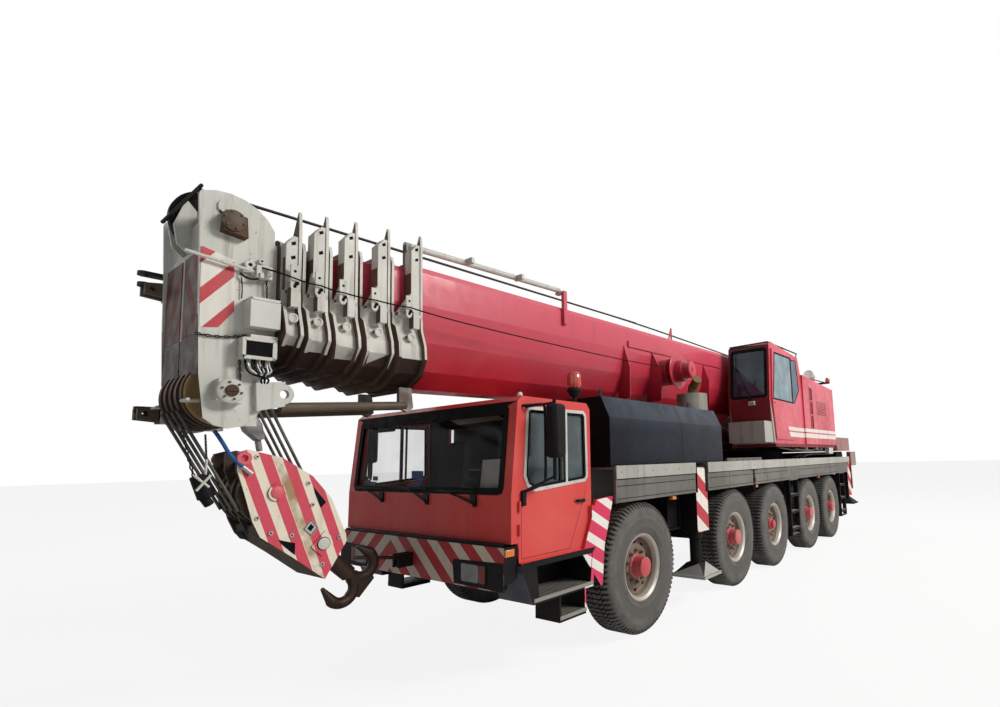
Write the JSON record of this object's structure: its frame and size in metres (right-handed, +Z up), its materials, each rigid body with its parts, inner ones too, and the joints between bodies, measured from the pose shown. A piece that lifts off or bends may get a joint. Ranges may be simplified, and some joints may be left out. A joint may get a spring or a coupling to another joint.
{
  "type": "five-axle mobile crane with telescopic boom",
  "caption": "Five-axle road-going mobile crane with a low driver's cab, slewing crane cab, telescopic luffing boom, sheave head, tied-back hook block and four outriggers.",
  "frame": {"origin": "on the ground under the middle of the parked crane's box", "axes": "+X towards the front of the carrier, +Y to the driver's left, +Z up"},
  "size_m": [14.6053, 3.08, 3.9796],
  "materials": {
    "paint_red": "glossy red paint",
    "paint_white": "cream white paint",
    "paint_black": "black paint",
    "paint_grey": "grey paint",
    "chassis_black": "satin black paint",
    "steel": "bright steel",
    "rusty_steel": "rusty steel",
    "tyre": "worn rubber",
    "glass": "tinted glass",
    "interior": "black trim"
  },
  "bodies": {
    "carrier": {"carrier_frame": "chassis_black", "deck": "paint_grey", "axle_beams": "chassis_black", "drive_train": "chassis_black", "engine_hood": "paint_black", "exhaust_stack": "rusty_steel", "carrier_cab": "paint_red", "cab_windows": "glass", "cab_interior": "interior", "front_bumper": "paint_red"},
    "superstructure": {"slewing_platform": "paint_red", "crane_cab": "paint_red", "crane_cab_glass": "glass", "machine_housing": "paint_red", "counterweight": "paint_red"},
    "crane_cab_door": {"crane_cab_door": "paint_red", "crane_cab_door_glass": "glass"},
    "winch": {"winch_drum": "chassis_black"},
    "door_left": {"door_left": "paint_red", "door_glass_left": "glass"},
    "door_right": {"door_right": "paint_red", "door_glass_right": "glass"},
    "luff_barrel": {"luff_cylinder_barrel": "paint_red"},
    "luff_rod": {"luff_cylinder_rod": "steel"},
    "boom_base": {"boom_base": "paint_red"},
    "boom_section_1": {"boom_section_1": "paint_red"},
    "boom_section_2": {"boom_section_2": "paint_red"},
    "boom_section_3": {"boom_section_3": "paint_red"},
    "boom_section_4": {"boom_section_4": "paint_red"},
    "boom_tip": {"boom_tip_section": "paint_white", "head_sheaves": "rusty_steel"},
    "hook_block": {"hook_block": "paint_red", "hoist_ropes": "rusty_steel"},
    "hook": {"hook": "rusty_steel"},
    "knuckle_1_left": {"knuckle_1_left": "chassis_black"},
    "knuckle_1_right": {"knuckle_1_right": "chassis_black"},
    "knuckle_2_left": {"knuckle_2_left": "chassis_black"},
    "knuckle_2_right": {"knuckle_2_right": "chassis_black"},
    "knuckle_4_left": {"knuckle_4_left": "chassis_black"},
    "knuckle_4_right": {"knuckle_4_right": "chassis_black"},
    "knuckle_5_left": {"knuckle_5_left": "chassis_black"},
    "knuckle_5_right": {"knuckle_5_right": "chassis_black"},
    "wheel_1_left": {"wheel_1_left": "tyre"},
    "wheel_1_right": {"wheel_1_right": "tyre"},
    "wheel_2_left": {"wheel_2_left": "tyre"},
    "wheel_2_right": {"wheel_2_right": "tyre"},
    "wheel_3_left": {"wheel_3_left": "tyre"},
    "wheel_3_right": {"wheel_3_right": "tyre"},
    "wheel_4_left": {"wheel_4_left": "tyre"},
    "wheel_4_right": {"wheel_4_right": "tyre"},
    "wheel_5_left": {"wheel_5_left": "tyre"},
    "wheel_5_right": {"wheel_5_right": "tyre"},
    "outrigger_beam_front_left": {"outrigger_beam_front_left": "paint_red"},
    "outrigger_jack_front_left": {"outrigger_jack_front_left": "steel"},
    "outrigger_beam_front_right": {"outrigger_beam_front_right": "paint_red"},
    "outrigger_jack_front_right": {"outrigger_jack_front_right": "steel"},
    "outrigger_beam_rear_left": {"outrigger_beam_rear_left": "paint_red"},
    "outrigger_jack_rear_left": {"outrigger_jack_rear_left": "steel"},
    "outrigger_beam_rear_right": {"outrigger_beam_rear_right": "paint_red"},
    "outrigger_jack_rear_right": {"outrigger_jack_rear_right": "steel"}
  },
  "joints": [
    {"name": "steer_1_left", "type": "hinge", "parent": "carrier", "child": "knuckle_1_left", "pos_m": [3.3, 0.92, 0.685], "axis": [0, 0, 1], "range_deg": [-32, 32]},
    {"name": "steer_1_right", "type": "hinge", "parent": "carrier", "child": "knuckle_1_right", "pos_m": [3.3, -0.92, 0.685], "axis": [0, 0, 1], "range_deg": [-32, 32]},
    {"name": "steer_2_left", "type": "hinge", "parent": "carrier", "child": "knuckle_2_left", "pos_m": [0.8, 0.92, 0.685], "axis": [0, 0, 1], "range_deg": [-20, 20]},
    {"name": "steer_2_right", "type": "hinge", "parent": "carrier", "child": "knuckle_2_right", "pos_m": [0.8, -0.92, 0.685], "axis": [0, 0, 1], "range_deg": [-20, 20]},
    {"name": "steer_4_left", "type": "hinge", "parent": "carrier", "child": "knuckle_4_left", "pos_m": [-2.9, 0.92, 0.685], "axis": [0, 0, 1], "range_deg": [-14, 14]},
    {"name": "steer_4_right", "type": "hinge", "parent": "carrier", "child": "knuckle_4_right", "pos_m": [-2.9, -0.92, 0.685], "axis": [0, 0, 1], "range_deg": [-14, 14]},
    {"name": "steer_5_left", "type": "hinge", "parent": "carrier", "child": "knuckle_5_left", "pos_m": [-4.55, 0.92, 0.685], "axis": [0, 0, 1], "range_deg": [-24, 24]},
    {"name": "steer_5_right", "type": "hinge", "parent": "carrier", "child": "knuckle_5_right", "pos_m": [-4.55, -0.92, 0.685], "axis": [0, 0, 1], "range_deg": [-24, 24]},
    {"name": "spin_1_left", "type": "hinge", "parent": "knuckle_1_left", "child": "wheel_1_left", "pos_m": [3.3, 1.1875, 0.685], "axis": [0, 1, 0], "continuous": true},
    {"name": "spin_1_right", "type": "hinge", "parent": "knuckle_1_right", "child": "wheel_1_right", "pos_m": [3.3, -1.1875, 0.685], "axis": [0, 1, 0], "continuous": true},
    {"name": "spin_2_left", "type": "hinge", "parent": "knuckle_2_left", "child": "wheel_2_left", "pos_m": [0.8, 1.1875, 0.685], "axis": [0, 1, 0], "continuous": true},
    {"name": "spin_2_right", "type": "hinge", "parent": "knuckle_2_right", "child": "wheel_2_right", "pos_m": [0.8, -1.1875, 0.685], "axis": [0, 1, 0], "continuous": true},
    {"name": "spin_3_left", "type": "hinge", "parent": "carrier", "child": "wheel_3_left", "pos_m": [-0.85, 1.1875, 0.685], "axis": [0, 1, 0], "continuous": true},
    {"name": "spin_3_right", "type": "hinge", "parent": "carrier", "child": "wheel_3_right", "pos_m": [-0.85, -1.1875, 0.685], "axis": [0, 1, 0], "continuous": true},
    {"name": "spin_4_left", "type": "hinge", "parent": "knuckle_4_left", "child": "wheel_4_left", "pos_m": [-2.9, 1.1875, 0.685], "axis": [0, 1, 0], "continuous": true},
    {"name": "spin_4_right", "type": "hinge", "parent": "knuckle_4_right", "child": "wheel_4_right", "pos_m": [-2.9, -1.1875, 0.685], "axis": [0, 1, 0], "continuous": true},
    {"name": "spin_5_left", "type": "hinge", "parent": "knuckle_5_left", "child": "wheel_5_left", "pos_m": [-4.55, 1.1875, 0.685], "axis": [0, 1, 0], "continuous": true},
    {"name": "spin_5_right", "type": "hinge", "parent": "knuckle_5_right", "child": "wheel_5_right", "pos_m": [-4.55, -1.1875, 0.685], "axis": [0, 1, 0], "continuous": true},
    {"name": "door_left_hinge", "type": "hinge", "parent": "carrier", "child": "door_left", "pos_m": [5.095, 1.31, 1.6], "axis": [0, 0, -1], "range_deg": [0, 65]},
    {"name": "door_right_hinge", "type": "hinge", "parent": "carrier", "child": "door_right", "pos_m": [5.095, -1.31, 1.6], "axis": [0, 0, 1], "range_deg": [0, 65]},
    {"name": "outrigger_front_left_slide", "type": "slide", "parent": "carrier", "child": "outrigger_beam_front_left", "axis": [0, 1, 0], "range_m": [0, 2]},
    {"name": "jack_front_left_slide", "type": "slide", "parent": "outrigger_beam_front_left", "child": "outrigger_jack_front_left", "axis": [0, 0, -1], "range_m": [0, 0.4]},
    {"name": "outrigger_front_right_slide", "type": "slide", "parent": "carrier", "child": "outrigger_beam_front_right", "axis": [0, -1, 0], "range_m": [0, 2]},
    {"name": "jack_front_right_slide", "type": "slide", "parent": "outrigger_beam_front_right", "child": "outrigger_jack_front_right", "axis": [0, 0, -1], "range_m": [0, 0.4]},
    {"name": "outrigger_rear_left_slide", "type": "slide", "parent": "carrier", "child": "outrigger_beam_rear_left", "axis": [0, 1, 0], "range_m": [0, 2]},
    {"name": "jack_rear_left_slide", "type": "slide", "parent": "outrigger_beam_rear_left", "child": "outrigger_jack_rear_left", "axis": [0, 0, -1], "range_m": [0, 0.66]},
    {"name": "outrigger_rear_right_slide", "type": "slide", "parent": "carrier", "child": "outrigger_beam_rear_right", "axis": [0, -1, 0], "range_m": [0, 2]},
    {"name": "jack_rear_right_slide", "type": "slide", "parent": "outrigger_beam_rear_right", "child": "outrigger_jack_rear_right", "axis": [0, 0, -1], "range_m": [0, 0.66]},
    {"name": "slewing", "type": "hinge", "parent": "carrier", "child": "superstructure", "pos_m": [-3, 0, 1.9], "axis": [0, 0, 1], "continuous": true},
    {"name": "crane_cab_door_slide", "type": "slide", "parent": "superstructure", "child": "crane_cab_door", "axis": [-1, 0, 0], "range_m": [0, 0.65]},
    {"name": "winch_spin", "type": "hinge", "parent": "superstructure", "child": "winch", "pos_m": [-5.35, 0, 2.45], "axis": [0, 1, 0], "continuous": true},
    {"name": "boom_luff", "type": "hinge", "parent": "superstructure", "child": "boom_base", "pos_m": [-5, 0, 3.15], "axis": [0, -1, 0], "range_deg": [0, 82]},
    {"name": "luff_barrel_swing", "type": "hinge", "parent": "superstructure", "child": "luff_barrel", "pos_m": [-3.7, 0, 2.15], "axis": [0, -1, 0], "range_deg": [0, 84.68]},
    {"name": "luff_rod_slide", "type": "slide", "parent": "luff_barrel", "child": "luff_rod", "axis": [0.9964, 0, 0.0844], "range_m": [0, 2.1436]},
    {"name": "telescope_1", "type": "slide", "parent": "boom_base", "child": "boom_section_1", "axis": [0.9997, 0, -0.0236], "range_m": [0, 8.8]},
    {"name": "telescope_2", "type": "slide", "parent": "boom_section_1", "child": "boom_section_2", "axis": [0.9997, 0, -0.0236], "range_m": [0, 8.8]},
    {"name": "telescope_3", "type": "slide", "parent": "boom_section_2", "child": "boom_section_3", "axis": [0.9997, 0, -0.0236], "range_m": [0, 8.8]},
    {"name": "telescope_4", "type": "slide", "parent": "boom_section_3", "child": "boom_section_4", "axis": [0.9997, 0, -0.0236], "range_m": [0, 8.8]},
    {"name": "telescope_5", "type": "slide", "parent": "boom_section_4", "child": "boom_tip", "axis": [0.9997, 0, -0.0236], "range_m": [0, 8.8]},
    {"name": "hook_block_swing", "type": "hinge", "parent": "boom_tip", "child": "hook_block", "pos_m": [6.92065, 0, 2.35793], "axis": [0, 1, 0], "range_deg": [0, 45]},
    {"name": "hook_swivel", "type": "hinge", "parent": "hook_block", "child": "hook", "pos_m": [6.17871, 0, 1.24041], "axis": [0.7314, 0, 0.682], "continuous": true}
  ],
  "couplings": [
    {"joint": "steer_1_right", "follows": "steer_1_left", "ratio": 1},
    {"joint": "steer_2_left", "follows": "steer_1_left", "ratio": 0.625},
    {"joint": "steer_2_right", "follows": "steer_1_left", "ratio": 0.625},
    {"joint": "steer_4_left", "follows": "steer_1_left", "ratio": -0.4375},
    {"joint": "steer_4_right", "follows": "steer_1_left", "ratio": -0.4375},
    {"joint": "steer_5_left", "follows": "steer_1_left", "ratio": -0.75},
    {"joint": "steer_5_right", "follows": "steer_1_left", "ratio": -0.75},
    {"joint": "luff_barrel_swing", "follows": "boom_luff", "ratio": 1.0327},
    {"joint": "luff_rod_slide", "follows": "boom_luff", "m_per_rad": 1.4978},
    {"joint": "telescope_2", "follows": "telescope_1", "ratio": 1},
    {"joint": "telescope_3", "follows": "telescope_1", "ratio": 1},
    {"joint": "telescope_4", "follows": "telescope_1", "ratio": 1},
    {"joint": "telescope_5", "follows": "telescope_1", "ratio": 1},
    {"joint": "hook_block_swing", "follows": "boom_luff", "ratio": 0.54878}
  ]
}
